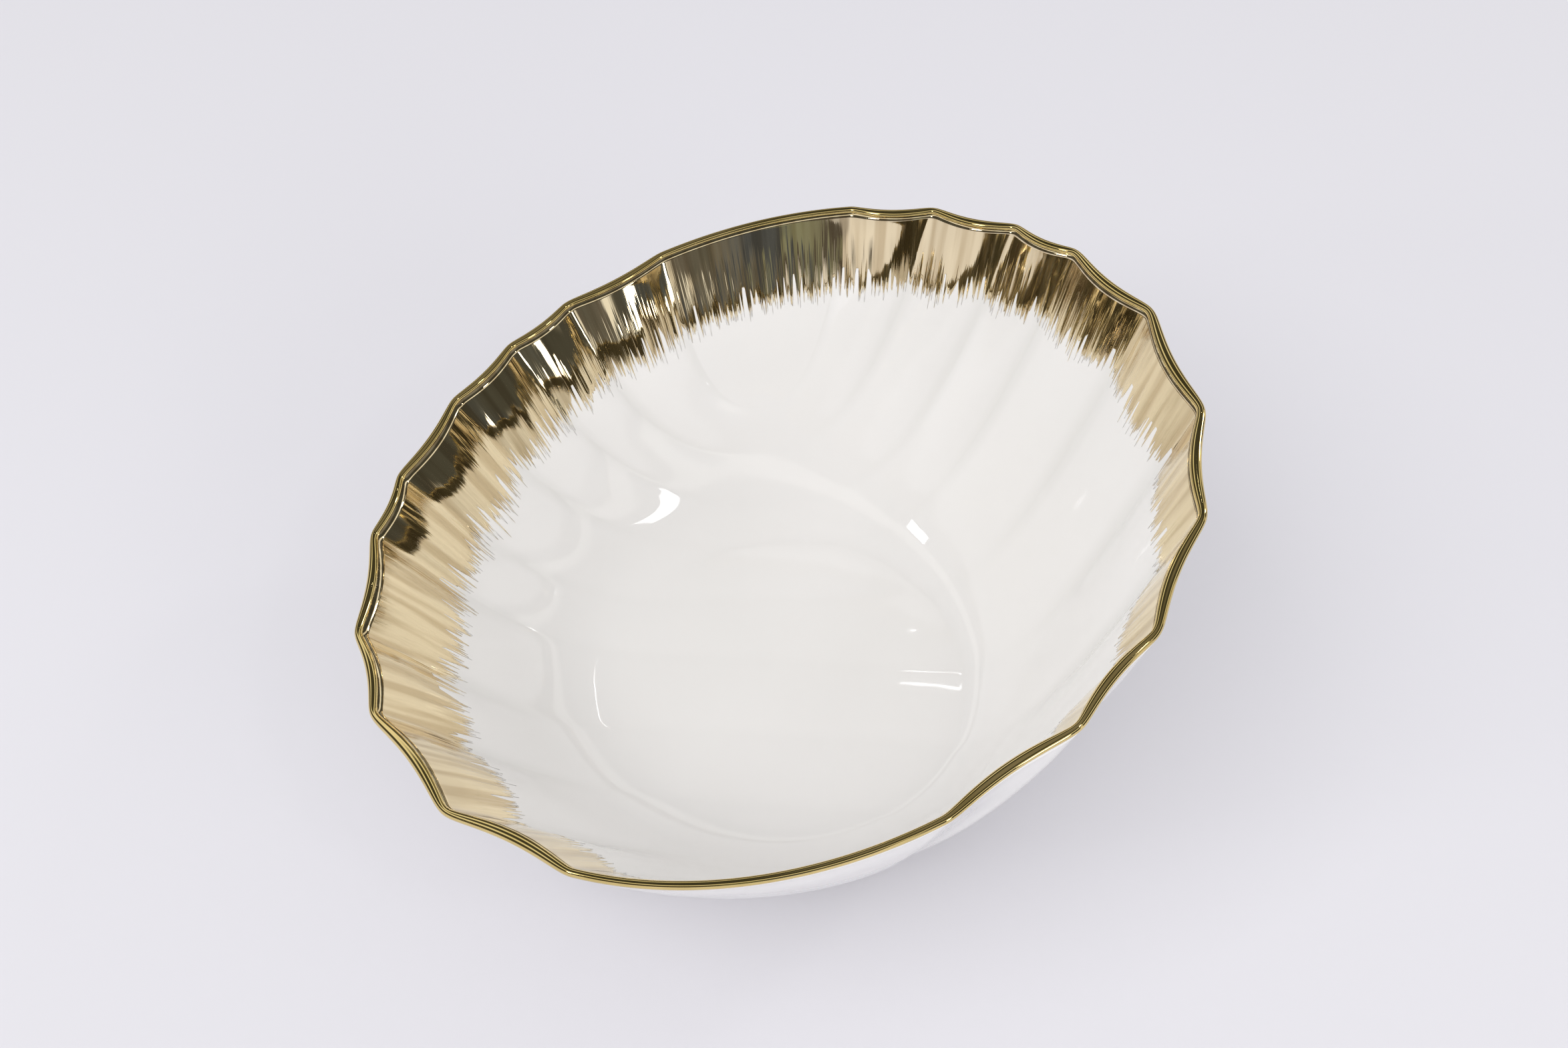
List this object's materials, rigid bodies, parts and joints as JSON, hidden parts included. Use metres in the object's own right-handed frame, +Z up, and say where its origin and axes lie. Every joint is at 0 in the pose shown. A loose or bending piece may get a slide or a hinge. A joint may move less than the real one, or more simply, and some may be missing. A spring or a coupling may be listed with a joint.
{
  "type": "serving bowl",
  "caption": "Round fluted porcelain serving bowl with a slanted scalloped mouth, foot ring, brushed gold band inside the rim and gilded lip.",
  "frame": {"origin": "on the table plane under the centre of the bowl's plan outline", "axes": "+Z up, +X towards the high side of the slanted mouth, +Y across the bowl, along the table"},
  "size_m": [0.2495, 0.2504, 0.1435],
  "materials": {
    "porcelain": "warm white gloss glaze",
    "gold_band": "polished gold lustre laid on with a brush, ragged lower edge",
    "gold_lip": "polished gold"
  },
  "bodies": {
    "root": {"porcelain_body": "porcelain", "gold_brushed_band": "gold_band", "gold_lip": "gold_lip"}
  },
  "joints": []
}
